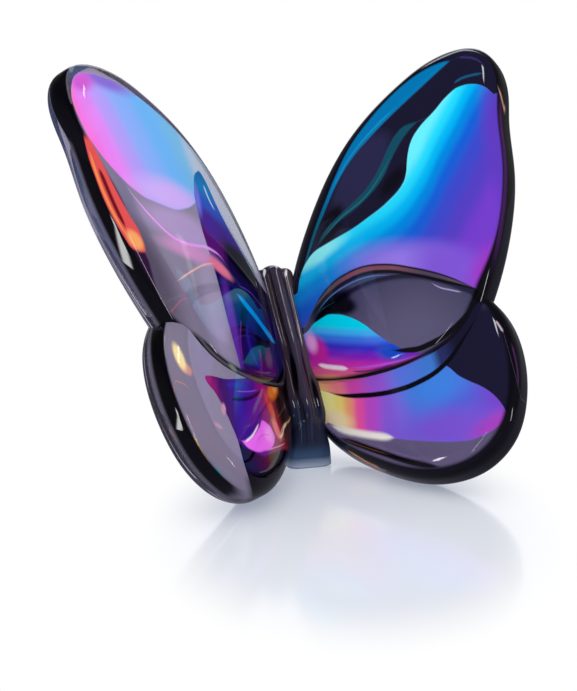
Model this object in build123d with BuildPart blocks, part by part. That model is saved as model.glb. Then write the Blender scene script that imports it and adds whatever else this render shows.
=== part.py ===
import os
from math import cos, radians, sin

from build123d import *

# A butterfly ornament of solid polished glass, in millimetres. It faces -Y and stands on the floor, Z = 0.
# The origin is the middle of the foot's underside, and the YZ plane is the plane of symmetry.
# Each wing is two thick round-rimmed lobes on one gently bent surface. The two wings open like a book whose
# spine, the hinge line, leans back, and the body fills the fold between them.

os.makedirs("parts", exist_ok=True)

# The pose of the two wings, in degrees
wing_lean = 43.7
half_opening = 50.7

# The hinge line meets the floor this far in front of the origin
hinge_lead = 8.4

# Each wing is bent about a line parallel to the hinge line, which passes behind this distance out along the wing
bend_radius = 73.4
bend_place = 28.2

# The lobes' thickness at the crown and half a crown span away, and the rounding of their rims
crown_thickness = 8.2
rim_thickness = 6.8
crown_span = 70.0
rim_rounding = 3.1

# The forewing's middle surface lies this far in front of the bent surface, and the hindwing's as far behind it
lobe_step = 0.7

# The forewing lobe: its size across and along the hinge line, how far its root passes the hinge line, under the
# bend, and where it starts
forewing_width = 48.0
forewing_length = 51.4
forewing_inset = -1.9
forewing_start = 10.1
forewing_outline_shares = [
    (0.000, 0.206), (0.082, 0.113), (0.235, 0.043), (0.446, 0.000), (0.636, 0.026), (0.767, 0.156),
    (0.872, 0.344), (0.942, 0.552), (0.973, 0.730), (1.000, 0.856), (0.964, 0.972), (0.834, 1.000),
    (0.670, 0.957), (0.444, 0.848), (0.209, 0.641), (0.037, 0.401),
]

# The hindwing lobe, in the same terms
hindwing_width = 36.2
hindwing_length = 38.9
hindwing_inset = 0
hindwing_start = -8.5
hindwing_outline_shares = [
    (0.124, 0.951), (0.265, 1.000), (0.445, 0.997), (0.660, 0.926), (0.853, 0.779), (0.977, 0.596),
    (1.000, 0.407), (0.960, 0.226), (0.870, 0.079), (0.724, 0.000), (0.505, 0.019), (0.236, 0.192),
    (0.000, 0.513),
]

# The body's stations, from the foot up: setback behind the origin, height, lean in degrees, half width, half depth.
# The core's corners are rounded by this share of its smaller half.
core_rounding_share = 0.95
ankle_setback = -0.9
ankle_lean = 12
ankle_half_width = 2.3
ankle_half_depth = 3.5
belly_setback = 2.3
belly_height = 9.2
belly_lean = 34
belly_half_width = 2.6
belly_half_depth = 3.3
waist_setback = 5.4
waist_height = 13.5
waist_lean = 41
waist_half_width = 2.1
waist_half_depth = 3.1
top_setback = 17.3
top_height = 25.35
top_lean = 44
top_half_width = 2.4
top_half_depth = 3.5

# Three ribs run up the body's front: at each station their radius, and how far the side ribs lie from the middle.
# They rise this far above the oval core, and the side ribs lie further back.
ankle_rib_radius = 1.1
ankle_rib_spread = 1.8
belly_rib_radius = 1.2
belly_rib_spread = 2.0
waist_rib_radius = 1.15
waist_rib_spread = 1.6
top_rib_radius = 1.3
top_rib_spread = 1.9
rib_rise = 0.75
side_rib_retreat = 0.8

# The foot block
foot_height = 4.6
foot_width = 7.4
foot_depth = 8.0
foot_top_width = 6.4
foot_top_depth = 7.4
foot_corner = 1.4
foot_edge = 0.35

# The frame of the right wing: X runs out along the wing, Y up the hinge line, Z out of its front face
hinge_direction = Vector(0, sin(radians(wing_lean)), cos(radians(wing_lean)))
forward = Vector(0, -cos(radians(wing_lean)), sin(radians(wing_lean)))
sideways = Vector(1, 0, 0)
span_direction = sideways * sin(radians(half_opening)) + forward * cos(radians(half_opening))
face_direction = forward * sin(radians(half_opening)) - sideways * cos(radians(half_opening))
wing_frame = Plane((0, -hinge_lead, 0), x_dir=span_direction, z_dir=face_direction)
bend_line = wing_frame.from_local_coords((bend_place, 0, -bend_radius))


def lobe(outline_shares, width, length, inset, start, step):
    """One lobe of the right wing: a bent, crowned slab, cut to its outline and rounded along its rim."""
    points = [(inset + width * across, start + length * along) for across, along in outline_shares]
    crown_place = start + length / 2
    half_span = crown_span / 2
    slab_radius = bend_radius + step
    with BuildPart() as made:
        with BuildSketch(wing_frame.offset(-crown_span / 4)):
            with BuildLine():
                Spline(*points, periodic=True)
            make_face()
        extrude(amount=crown_span / 2)
        # The slab's section, with its heights measured from the bend line, goes once round that line
        with BuildSketch(Plane(bend_line, x_dir=wing_frame.y_dir, z_dir=wing_frame.x_dir)):
            with BuildLine():
                low_end = crown_place - half_span
                high_end = crown_place + half_span
                back_edge = slab_radius - rim_thickness / 2
                front_edge = slab_radius + rim_thickness / 2
                Line((high_end, back_edge), (high_end, front_edge))
                ThreePointArc(
                    (high_end, front_edge), (crown_place, slab_radius + crown_thickness / 2), (low_end, front_edge)
                )
                Line((low_end, front_edge), (low_end, back_edge))
                ThreePointArc(
                    (low_end, back_edge), (crown_place, slab_radius - crown_thickness / 2), (high_end, back_edge)
                )
            make_face()
        revolve(axis=Axis(bend_line, wing_frame.y_dir), mode=Mode.INTERSECT)
        fillet(made.edges().filter_by(GeomType.BSPLINE), rim_rounding)
    return made.part


def station(setback, height, lean):
    """A section plane of the body: X to the right, Y toward the back, Z up the body."""
    along = (0, sin(radians(lean)), cos(radians(lean)))
    return Plane((0, setback, height), x_dir=(1, 0, 0), z_dir=along)


def rib_places(half_depth, rib_radius, rib_spread):
    """The middles of the three front ribs on one section of the body."""
    front = -(half_depth + rib_rise - rib_radius)
    return [(-rib_spread, front + side_rib_retreat), (0, front), (rib_spread, front + side_rib_retreat)]


def fluted(stations):
    """A stretch of the body through the given stations: a rounded core, and three ribs up its front."""
    with BuildPart() as made:
        for plane, half_width, half_depth, rib_radius, rib_spread in stations:
            rounding = core_rounding_share * min(half_width, half_depth)
            with BuildSketch(plane):
                RectangleRounded(2 * half_width, 2 * half_depth, rounding)
        loft()
        for side in range(3):
            for plane, half_width, half_depth, rib_radius, rib_spread in stations:
                with BuildSketch(plane):
                    with Locations(rib_places(half_depth, rib_radius, rib_spread)[side]):
                        Circle(rib_radius)
            loft()
    return made.part


root = station(ankle_setback, foot_height / 2, ankle_lean)
ankle = station(ankle_setback, foot_height, ankle_lean)
belly = station(belly_setback, belly_height, belly_lean)
waist = station(waist_setback, waist_height, waist_lean)
top = station(top_setback, top_height, top_lean)
foot_top = Plane.XY.offset(foot_height)

lower_body = fluted([
    (root, ankle_half_width, ankle_half_depth, ankle_rib_radius, ankle_rib_spread),
    (ankle, ankle_half_width, ankle_half_depth, ankle_rib_radius, ankle_rib_spread),
    (belly, belly_half_width, belly_half_depth, belly_rib_radius, belly_rib_spread),
    (waist, waist_half_width, waist_half_depth, waist_rib_radius, waist_rib_spread),
])

with BuildPart() as foot_block:
    with BuildSketch(Plane.XY):
        RectangleRounded(foot_width, foot_depth, foot_corner)
    with BuildSketch(foot_top):
        RectangleRounded(foot_top_width, foot_top_depth, foot_corner)
    loft()
    fillet(foot_block.faces().sort_by(Axis.Z)[0].edges(), foot_edge)

with BuildPart() as foot:
    add(lower_body)
    add(foot_block.part)
    split(bisect_by=foot_top, keep=Keep.BOTTOM)
foot.part.label = "foot"

with BuildPart() as abdomen:
    add(lower_body)
    split(bisect_by=foot_top, keep=Keep.TOP)
abdomen.part.label = "abdomen"

with BuildPart() as thorax:
    add(fluted([
        (waist, waist_half_width, waist_half_depth, waist_rib_radius, waist_rib_spread),
        (top, top_half_width, top_half_depth, top_rib_radius, top_rib_spread),
    ]))
thorax.part.label = "thorax"

# The head's dome matches the core's section at the top station, and each rib ends in a ball
with BuildPart() as head:
    with BuildSketch(Plane(top.origin, x_dir=top.y_dir, z_dir=top.x_dir)):
        rounding = core_rounding_share * min(top_half_width, top_half_depth)
        RectangleRounded(2 * top_half_depth, 2 * top_half_width, rounding)
        split(bisect_by=Plane.XZ)
    revolve(axis=Axis(top.origin, top.y_dir))
    split(bisect_by=top, keep=Keep.TOP)
    rib_ends = rib_places(top_half_depth, top_rib_radius, top_rib_spread)
    with Locations(*[top.from_local_coords((across, back, 0)) for across, back in rib_ends]):
        Sphere(top_rib_radius)
    split(bisect_by=top, keep=Keep.TOP)
head.part.label = "head"

# The right wing's lobes before they are fitted together, lifted until the hindwing's rim rests on the floor
raw_forewing = lobe(
    forewing_outline_shares, forewing_width, forewing_length, forewing_inset, forewing_start, lobe_step
)
raw_hindwing = lobe(
    hindwing_outline_shares, hindwing_width, hindwing_length, hindwing_inset, hindwing_start, -lobe_step
)
wing_lift = -raw_hindwing.bounding_box().min.Z / hinge_direction.Z
lift = Location(hinge_direction * wing_lift)

with BuildPart() as forewing_blank:
    add(raw_forewing.moved(lift))

with BuildPart() as hindwing_blank:
    add(raw_hindwing.moved(lift))

# Where the lobes overlap, the forewing keeps what lies in front of the bent surface, and the hindwing the rest
with BuildPart() as behind_bend:
    with BuildSketch(Plane(bend_line, x_dir=wing_frame.x_dir, z_dir=wing_frame.y_dir)):
        Circle(bend_radius)
    extrude(amount=2 * crown_span, both=True)

with BuildPart() as forewing_lap:
    add(forewing_blank.part)
    add(behind_bend.part, mode=Mode.SUBTRACT)

with BuildPart() as hindwing_lap:
    add(hindwing_blank.part)
    add(behind_bend.part, mode=Mode.INTERSECT)

with BuildPart() as right_forewing:
    add(forewing_blank.part)
    add(hindwing_lap.part, mode=Mode.SUBTRACT)
    add([lower_body, thorax.part, foot_block.part, head.part], mode=Mode.SUBTRACT)
right_forewing.part.label = "right_forewing"

with BuildPart() as right_hindwing:
    add(hindwing_blank.part)
    add(forewing_lap.part, mode=Mode.SUBTRACT)
    add([lower_body, thorax.part, foot_block.part, head.part], mode=Mode.SUBTRACT)
right_hindwing.part.label = "right_hindwing"

with BuildPart() as left_forewing:
    mirror(right_forewing.part, about=Plane.YZ)
left_forewing.part.label = "left_forewing"

with BuildPart() as left_hindwing:
    mirror(right_hindwing.part, about=Plane.YZ)
left_hindwing.part.label = "left_hindwing"

export_step(foot.part, "parts/foot.step")
export_step(abdomen.part, "parts/abdomen.step")
export_step(thorax.part, "parts/thorax.step")
export_step(head.part, "parts/head.step")
export_step(right_forewing.part, "parts/right_forewing.step")
export_step(right_hindwing.part, "parts/right_hindwing.step")
export_step(left_forewing.part, "parts/left_forewing.step")
export_step(left_hindwing.part, "parts/left_hindwing.step")

print("The wings are lifted by", round(wing_lift, 2))
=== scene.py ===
"""The looks of a butterfly ornament: four lobes and a fluted body of smoky, lustre-coated glass, with its
reflections, highlights and shade painted into its colour.
"""

from math import cos, inf, pi, radians, sin

import bmesh
import bpy
import numpy as np
from mathutils import Matrix, Vector


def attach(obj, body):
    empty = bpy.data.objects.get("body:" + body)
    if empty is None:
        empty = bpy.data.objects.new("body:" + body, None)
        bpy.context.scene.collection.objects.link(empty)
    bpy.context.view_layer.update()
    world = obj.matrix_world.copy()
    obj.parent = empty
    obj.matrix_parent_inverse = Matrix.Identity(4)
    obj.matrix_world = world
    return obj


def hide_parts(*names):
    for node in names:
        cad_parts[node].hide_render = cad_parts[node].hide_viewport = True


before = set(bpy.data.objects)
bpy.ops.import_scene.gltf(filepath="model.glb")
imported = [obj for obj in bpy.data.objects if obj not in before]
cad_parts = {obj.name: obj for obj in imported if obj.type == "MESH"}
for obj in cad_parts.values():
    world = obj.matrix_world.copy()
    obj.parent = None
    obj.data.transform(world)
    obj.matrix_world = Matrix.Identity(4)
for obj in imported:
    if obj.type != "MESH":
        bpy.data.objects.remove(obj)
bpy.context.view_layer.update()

# Lengths here are in millimetres, and Blender's are in metres
mm = 0.001

# The pose of the two wings, in degrees, and where their hinge line meets the floor, in front of the origin
wing_lean = 43.7
half_opening = 50.7
hinge_lead = 8.4

# The bend of each wing, and the sections of its lobes
bend_radius = 73.4
bend_place = 28.2
crown_thickness = 8.2
rim_thickness = 6.8
crown_span = 70.0
rim_rounding = 3.1
lobe_step = 0.7

# The two lobes of a wing: their size across and along the hinge line, and where they start
forewing_width = 48.0
forewing_length = 51.4
forewing_inset = -1.9
forewing_start = 10.1
forewing_outline_shares = [
    (0.000, 0.206), (0.082, 0.113), (0.235, 0.043), (0.446, 0.000), (0.636, 0.026), (0.767, 0.156),
    (0.872, 0.344), (0.942, 0.552), (0.973, 0.730), (1.000, 0.856), (0.964, 0.972), (0.834, 1.000),
    (0.670, 0.957), (0.444, 0.848), (0.209, 0.641), (0.037, 0.401),
]
hindwing_width = 36.2
hindwing_length = 38.9
hindwing_inset = 0.0
hindwing_start = -8.5
hindwing_outline_shares = [
    (0.124, 0.951), (0.265, 1.000), (0.445, 0.997), (0.660, 0.926), (0.853, 0.779), (0.977, 0.596),
    (1.000, 0.407), (0.960, 0.226), (0.870, 0.079), (0.724, 0.000), (0.505, 0.019), (0.236, 0.192),
    (0.000, 0.513),
]
wing_drop = 0.25

# The body's stations: setback, height, lean in degrees, half width, half depth, corner, rib radius and rib
# spread. The first two are the foot block, and the last is the top, where the head starts.
body_stations = [
    (0.0, 0.0, 0, 3.7, 4.0, 1.4, 1.1, 1.8),
    (0.0, 4.2, 0, 3.25, 3.75, 1.4, 1.1, 1.8),
    (0.0, 6.4, 20, 2.5, 3.5, 2.0, 1.15, 1.9),
    (2.3, 9.2, 34, 2.6, 3.3, 2.4, 1.2, 2.0),
    (5.4, 13.5, 41, 2.1, 3.1, 2.0, 1.15, 1.6),
    (11.4, 19.5, 43, 2.25, 3.3, 2.1, 1.25, 1.8),
    (17.3, 25.35, 44, 2.4, 3.5, 2.3, 1.3, 1.9),
]
foot_end = 4.6
abdomen_end = 15.2
rib_rise = 0.75
rib_rise_in_foot = -0.9
ribs_start = 3.2
ribs_stand_out = 8.0
side_rib_retreat = 0.8
foot_edge = 0.35

# The lane of a side rib as the body's paint reads it, and the slack where two levels are compared
rib_lane = 10.0
level_slack = 0.001

# How finely the lobes and the body are meshed
outline_points = 200
rim_rings = 10
face_rings = 14
body_points = 144
body_rings_per_mm = 4
dome_rings = 14

# How far the pattern moves, out along the wing and up it, per millimetre of depth down a rounded rim
right_slant = (0.36, -0.56)
left_slant = (1.65, -1.02)

# The camera, from the fit to the photograph. Right and up are how far its aim lies from the hinge line's
# foot, in the picture's plane.
camera_turn = radians(-17.778)
camera_rise = radians(13.868)
camera_distance = 400.0
camera_right = -4.993
camera_up = 20.4
pixels_per_mm = 6.4
photo_width_pixels = 577

# The hinge line's direction and foot, and the way that both wings would point if they were closed
hinge_direction = Vector((0, sin(radians(wing_lean)), cos(radians(wing_lean))))
hinge_foot = Vector((0, -hinge_lead, 0))
forward = Vector((0, -cos(radians(wing_lean)), sin(radians(wing_lean))))

# The picture's right, and the way along the floor toward the camera
picture_right = Vector((cos(camera_turn), sin(camera_turn), 0))
toward_camera = Vector((sin(camera_turn), -cos(camera_turn), 0))


def closed_curve(points, count):
    """Places evenly along the smooth closed curve through the points, and its directions there."""
    points = np.array(points, float)
    following = np.roll(points, -1, 0)
    gaps = np.linalg.norm(following - points, axis=1)
    slopes = (following - points) / gaps[:, None]
    size = len(points)
    system = np.zeros((size, size))
    for here in range(size):
        before = here - 1
        system[here, before] += gaps[before]
        system[here, here] += 2 * (gaps[before] + gaps[here])
        system[here, (here + 1) % size] += gaps[here]
    bends = np.linalg.solve(system, 6 * (slopes - np.roll(slopes, 1, 0)))
    bends_after = np.roll(bends, -1, 0)
    knots = np.concatenate([[0], np.cumsum(gaps)])
    places = np.linspace(0, knots[-1], count, endpoint=False)
    span = np.searchsorted(knots, places, side="right") - 1
    gap = gaps[span][:, None]
    past = places[:, None] - knots[span][:, None]
    left = gap - past
    curve = (bends[span] * left**3 + bends_after[span] * past**3) / (6 * gap)
    curve += (points[span] / gap - bends[span] * gap / 6) * left
    curve += (following[span] / gap - bends_after[span] * gap / 6) * past
    along = (bends_after[span] * past**2 - bends[span] * left**2) / (2 * gap)
    along += slopes[span] - gap * (bends_after[span] - bends[span]) / 6
    return curve, along / np.linalg.norm(along, axis=1)[:, None]


class Lobe:
    """One lobe in its wing's own frame: across the wing, along the hinge line, and up from its plane."""

    def __init__(self, shares, size, corner, step):
        width, length = size
        inset, start = corner
        self.outline = [(inset + width * across, start + length * along) for across, along in shares]
        self.middle = start + length / 2
        self.step = step

    def half_thickness(self, along):
        """Half the lobe's thickness inside its rim: an arc through the crown and both ends of its span."""
        sag = (crown_thickness - rim_thickness) / 2
        radius = ((crown_span / 2) ** 2 + sag**2) / (2 * sag)
        return crown_thickness / 2 - radius + np.sqrt(radius**2 - (along - self.middle) ** 2)

    def height(self, across, along, side, drop):
        """How high the front (side 1) or back (side -1) lies over the wing's plane, less the rim's drop."""
        reach = bend_radius + self.step + side * (self.half_thickness(along) - drop)
        return np.sqrt(reach**2 - (across - bend_place) ** 2) - bend_radius

    def rings(self):
        """Rings of points from the middle of the front, round the rim, to the middle of the back."""
        edge, along = closed_curve(self.outline, outline_points)
        inward = np.stack([-along[:, 1], along[:, 0]], 1)
        middle = edge.mean(0)
        if ((middle - edge) * inward).sum() < 0:
            inward = -inward
        made = []
        for side in (1, -1):
            half = []
            inner = edge + inward * rim_rounding
            for ring in range(1, face_rings):
                place = middle + (inner - middle) * (ring / face_rings)
                half.append(np.column_stack([place, self.height(place[:, 0], place[:, 1], side, 0)]))
            for ring in range(rim_rings + 1):
                turn = pi / 2 * (1 - ring / rim_rings)
                place = edge + inward * rim_rounding * (1 - cos(turn))
                drop = rim_rounding * (1 - sin(turn))
                half.append(np.column_stack([place, self.height(place[:, 0], place[:, 1], side, drop)]))
            made.append(half)
        front, back = made
        tops = [np.array([*middle, self.height(middle[0], middle[1], side, 0)]) for side in (1, -1)]
        return tops[0], front + back[::-1], tops[1]


def lobe_mesh(name, lobe, hand):
    """The whole lobe as a closed mesh, in millimetres of the wing's frame. A left one has hand -1."""
    top, rings, bottom = lobe.rings()
    points = np.vstack([top[None], *rings, bottom[None]])
    points[:, 2] *= hand
    count = outline_points
    faces = []
    last = 1 + len(rings) * count
    for i in range(count):
        j = (i + 1) % count
        faces.append((0, 1 + i, 1 + j))
        faces.append((last, last - count + j, last - count + i))
        for ring in range(len(rings) - 1):
            low = 1 + ring * count
            faces.append((low + i, low + count + i, low + count + j, low + j))
    return made_mesh(name, points, faces)


def made_mesh(name, points, faces):
    """A smooth mesh whose faces look outward."""
    mesh = bpy.data.meshes.new(name)
    mesh.from_pydata([tuple(point) for point in points], [], faces)
    volume = 0
    for face in faces:
        a, b, c = (points[i] for i in face[:3])
        volume += np.dot(a, np.cross(b, c))
        if len(face) == 4:
            volume += np.dot(a, np.cross(c, points[face[3]]))
    if volume < 0:
        mesh.flip_normals()
    mesh.shade_smooth()
    mesh.update()
    return mesh


def placed(name, mesh):
    """A new object in the scene that shows the mesh."""
    made = bpy.data.objects.new(name, mesh)
    bpy.context.scene.collection.objects.link(made)
    return made


def mark(mesh, name, values):
    """Writes one number per point on the mesh, for its material to read."""
    field = mesh.attributes.new(name, "FLOAT", "POINT")
    field.data.foreach_set("value", np.asarray(values, np.float32))


def outside(whole, other):
    """The lobe's surface outside the other one, and open where they meet, as they are one piece of glass."""
    step = whole.modifiers.new("cut", "BOOLEAN")
    step.operation = "DIFFERENCE"
    step.solver = "EXACT"
    step.object = other
    mesh = bpy.data.meshes.new_from_object(whole.evaluated_get(bpy.context.evaluated_depsgraph_get()))
    whole.modifiers.remove(step)
    own_slot = whole.data.polygons[0].material_index
    work = bmesh.new()
    work.from_mesh(mesh)
    cut_faces = [face for face in work.faces if face.material_index != own_slot]
    bmesh.ops.delete(work, geom=cut_faces, context="FACES")
    for face in work.faces:
        face.material_index = 0
    work.to_mesh(mesh)
    work.free()
    return with_normals_of(whole, mesh)


def with_normals_of(whole, mesh):
    """The cut mesh with the smooth normals of the whole lobe that it was cut from."""
    piece = placed("piece", mesh)
    step = piece.modifiers.new("normals", "DATA_TRANSFER")
    step.object = whole
    step.use_loop_data = True
    step.data_types_loops = {"CUSTOM_NORMAL"}
    step.loop_mapping = "POLYINTERP_NEAREST"
    made = bpy.data.meshes.new_from_object(piece.evaluated_get(bpy.context.evaluated_depsgraph_get()))
    bpy.data.objects.remove(piece)
    return made


def finished_lobe(name, mesh, lobe, hand, slant, material):
    """The lobe's cut mesh, marked for its material and set in the row frame in place of its CAD node."""
    points = np.empty(3 * len(mesh.vertices))
    mesh.vertices.foreach_get("co", points)
    points = points.reshape(-1, 3)
    across, along = points[:, 0], points[:, 1]
    above = points[:, 2] * hand
    bent = np.sqrt((bend_radius + lobe.step) ** 2 - (across - bend_place) ** 2) - bend_radius
    side = np.where(above > bent, 1, -1)
    # The pattern runs down the rounded rim on a slant, so it is read at a place that moves with the depth
    depth = np.clip((lobe.height(across, along, side, 0) - above) * side, 0, crown_thickness / 2)
    mark(mesh, "out", across + slant[0] * depth)
    mark(mesh, "along", along + slant[1] * depth)
    mark(mesh, "depth", depth)
    mark(mesh, "front", np.clip((above - bent) / rim_thickness + 0.5, 0, 1))
    opening = radians(half_opening)
    span = Vector((hand * sin(opening), 0, 0)) + forward * cos(opening)
    face = forward * sin(opening) - Vector((hand * cos(opening), 0, 0))
    pose = Matrix((span, hinge_direction, hand * face)).transposed().to_4x4()
    pose.translation = hinge_foot - hinge_direction * wing_drop
    mesh.transform(Matrix.Scale(mm, 4) @ pose)
    mesh.materials.clear()
    mesh.materials.append(material)
    made = placed(name + "_glass", mesh)
    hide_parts(name)
    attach(made, "root")


def between(values, gaps, knots, levels):
    """The stations' values at each level, on smooth curves. The knots are the stations' own levels."""
    slopes = np.gradient(values, knots, axis=0)
    slopes[0] = (values[1] - values[0]) / gaps[0]
    span = np.clip(np.searchsorted(knots, levels, side="right") - 1, 0, len(gaps) - 1)
    gap = gaps[span][:, None]
    past = (levels[:, None] - knots[span][:, None]) / gap
    start = (1 + 2 * past) * (1 - past) ** 2 * values[span] + past * (1 - past) ** 2 * gap * slopes[span]
    end = past**2 * (3 - 2 * past) * values[span + 1] + past**2 * (past - 1) * gap * slopes[span + 1]
    return start + end


# The core's edge is found by halvings between its middle and well outside it. A high power melts the ribs
# into the core, and its corners are a little less than full round.
core_halvings = 30
outside_share = 4
melt_power = 40
corner_share = 0.98


def body_ring(half_width, half_depth, corner, rib_radius, rib_spread, rib_front, shrink=0.0):
    """One ring round the body in its section plane: the core and three ribs, melted together."""
    turns = np.linspace(0, 2 * pi, body_points, endpoint=False)
    ways = np.stack([np.cos(turns), np.sin(turns)], 1)
    corner = min(corner, corner_share * min(half_width, half_depth))
    low, high = np.zeros(body_points), np.full(body_points, outside_share * half_depth)
    for _ in range(core_halvings):
        middle = (low + high) / 2
        apart = np.abs(ways * middle[:, None]) - np.array([half_width - corner, half_depth - corner])
        beyond = np.linalg.norm(np.maximum(apart, 0), axis=1) + np.minimum(apart.max(1), 0) > corner
        low, high = np.where(beyond, low, middle), np.where(beyond, middle, high)
    shapes = [low]
    ball = np.sqrt(max(rib_radius**2 - shrink**2, 0))
    front = -(rib_front - rib_radius)
    for lane in (-1, 0, 1):
        rib = np.array([lane * rib_spread, front + side_rib_retreat * abs(lane)])
        toward_rib = ways @ rib
        inside = toward_rib**2 - rib @ rib + ball**2
        far_side = toward_rib + np.sqrt(np.maximum(inside, 0))
        shapes.append(np.where((inside > 0) & (toward_rib > 0), far_side, 0))
    reach = (np.array(shapes) ** melt_power).sum(0) ** (1 / melt_power)
    return ways * reach[:, None]


def body_rings():
    """Rings up the body: level, setback, height, lean, points and rib spread. Also where the head starts."""
    stations = np.array(body_stations, float)
    gaps = np.linalg.norm(np.diff(stations[:, :2], axis=0), axis=1)
    knots = np.concatenate([[0], np.cumsum(gaps)])
    total = knots[-1]
    levels = np.linspace(0, total, int(total * body_rings_per_mm))
    values = between(stations, gaps, knots, levels)
    rings = []
    for level, station in zip(levels, values):
        setback, height, lean, half_width, half_depth, corner, radius, spread = station
        inset = foot_edge - np.sqrt(max(foot_edge**2 - max(foot_edge - level, 0) ** 2, 0))
        grown = np.clip((level - ribs_start) / (ribs_stand_out - ribs_start), 0, 1)
        rise = rib_rise_in_foot + (rib_rise - rib_rise_in_foot) * grown**2 * (3 - 2 * grown)
        flat = body_ring(half_width - inset, half_depth - inset, corner, radius, spread, half_depth + rise)
        rings.append((level, setback, height, lean, flat, spread))
    setback, height, lean, half_width, half_depth, corner, radius, spread = values[-1]
    for turn in np.linspace(0, pi / 2, dome_rings)[1:-1]:
        rise = half_width * sin(turn)
        width = half_width * cos(turn)
        deep = half_depth - corner * (1 - cos(turn))
        flat = body_ring(width, deep, corner, radius, spread, half_depth + rib_rise, rise)
        along = (setback + rise * sin(radians(lean)), height + rise * cos(radians(lean)))
        rings.append((total + rise, *along, lean, flat, spread))
    return rings, total


def body_meshes():
    """The whole body as one smooth skin, shared out to its four pieces."""
    rings, total = body_rings()
    points, lanes, levels = [], [], []
    for level, setback, height, lean, flat, spread in rings:
        tip = radians(lean)
        for across, deep in flat:
            points.append((across, setback + deep * cos(tip), max(height - deep * sin(tip), 0)))
            lanes.append(rib_lane * across / spread)
            levels.append(level)
    count = body_points
    faces = []
    for ring in range(len(rings) - 1):
        low = ring * count
        for i in range(count):
            j = (i + 1) % count
            faces.append((low + i, low + j, low + count + j, low + count + i))
    for ring in (0, len(rings) - 1):
        low = ring * count
        points.append(tuple(np.mean(points[low : low + count], axis=0)))
        lanes.append(0)
        levels.append(rings[ring][0])
        middle = len(points) - 1
        for i in range(count):
            j = (i + 1) % count
            faces.append((middle, low + j, low + i) if ring == 0 else (middle, low + i, low + j))
    whole = made_mesh("body", np.array(points), faces)
    normals = np.array([tuple(vertex.normal) for vertex in whole.vertices])
    lowest = [min(levels[i] for i in face.vertices) for face in whole.polygons]
    made = {}
    start = 0.0
    for name, end in (("foot", foot_end), ("abdomen", abdomen_end), ("thorax", total), ("head", inf)):
        kept = [face for face, level in zip(whole.polygons, lowest) if start <= level < end - level_slack]
        used = sorted({i for face in kept for i in face.vertices})
        place = {old: new for new, old in enumerate(used)}
        mesh = bpy.data.meshes.new(name)
        faces = [[place[i] for i in face.vertices] for face in kept]
        mesh.from_pydata([points[i] for i in used], [], faces)
        mesh.shade_smooth()
        mark(mesh, "out", [lanes[i] for i in used])
        mark(mesh, "along", [levels[i] for i in used])
        mesh.transform(Matrix.Scale(mm, 4))
        mesh.normals_split_custom_set_from_vertices([tuple(normals[i]) for i in used])
        made[name] = mesh
        start = end
    return made


# The range of the places that the paint reads, and the widest line that it can draw, in millimetres
field_low = -20.0
field_span = 90.0
widest_line = 20.0

# The glass, and how clear it is at the back
glass_roughness = 0.03
glass_ior = 1.52
glass_specular = 0.3
back_clearness = 0.92


def linear(share):
    """One channel of a colour as it is written on screen, from 0 to 255, as light."""
    share = share / 255
    return share / 12.92 if share <= 0.04045 else ((share + 0.055) / 1.055) ** 2.4


def share_at(place):
    """A place as a share of the field's range."""
    return (place - field_low) / field_span


def colour(shade):
    """A colour as a shader takes it, from its red, green and blue as they are written on screen."""
    return (*(linear(share) for share in shade), 1.0)


class Nodes:
    """The nodes of a material or the world. A value is a number, a colour or another node's output."""

    def __init__(self, tree):
        self.tree = tree

    def node(self, kind, **settings):
        made = self.tree.nodes.new(kind)
        for name, setting in settings.items():
            setattr(made, name, setting)
        return made

    def join(self, value, socket):
        """Joins an output to the socket, or sets the socket's own value."""
        if isinstance(value, bpy.types.NodeSocket):
            self.tree.links.new(value, socket)
        else:
            socket.default_value = value

    def joined(self, made, *values):
        """The first output of the node, with the values at its first inputs."""
        for value, socket in zip(values, made.inputs):
            self.join(value, socket)
        return made.outputs[0]

    def number(self, operation, first, second=0.0):
        return self.joined(self.node("ShaderNodeMath", operation=operation), first, second)

    def both(self, *masks):
        made = masks[0]
        for mask in masks[1:]:
            made = self.number("MULTIPLY", made, mask)
        return made

    def without(self, mask):
        return self.number("SUBTRACT", 1.0, mask)

    def step(self, value, start, end, smooth=True):
        """0 up to start and 1 from end on, or 1 up to end and 0 from start on where end is the lower one."""
        made = self.node("ShaderNodeMapRange", interpolation_type="SMOOTHSTEP" if smooth else "LINEAR")
        limits = (start, end, 0.0, 1.0) if start < end else (end, start, 1.0, 0.0)
        return self.joined(made, value, *limits)

    def ellipse(self, vector, middle, half_sizes, turn):
        """How far a place lies from the ellipse's middle, as a share of the way to its edge there."""
        made = self.node("ShaderNodeMapping", vector_type="TEXTURE")
        place = self.joined(made, vector, (*middle, 0), (0, 0, turn), (*half_sizes, 1))
        length = self.node("ShaderNodeVectorMath", operation="LENGTH")
        self.join(place, length.inputs[0])
        return length.outputs["Value"]

    def glow(self, shade):
        return self.joined(self.node("ShaderNodeEmission"), shade)

    def mixed(self, share, first, second):
        return self.joined(self.node("ShaderNodeMixShader"), share, first, second)

    def mirrored(self, rays):
        """1 for a reflection that isn't seen through glass, and 0 for other rays."""
        apart = self.number("SUBTRACT", rays["Is Glossy Ray"], rays["Is Transmission Ray"])
        return self.number("MAXIMUM", apart, 0.0)


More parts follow.
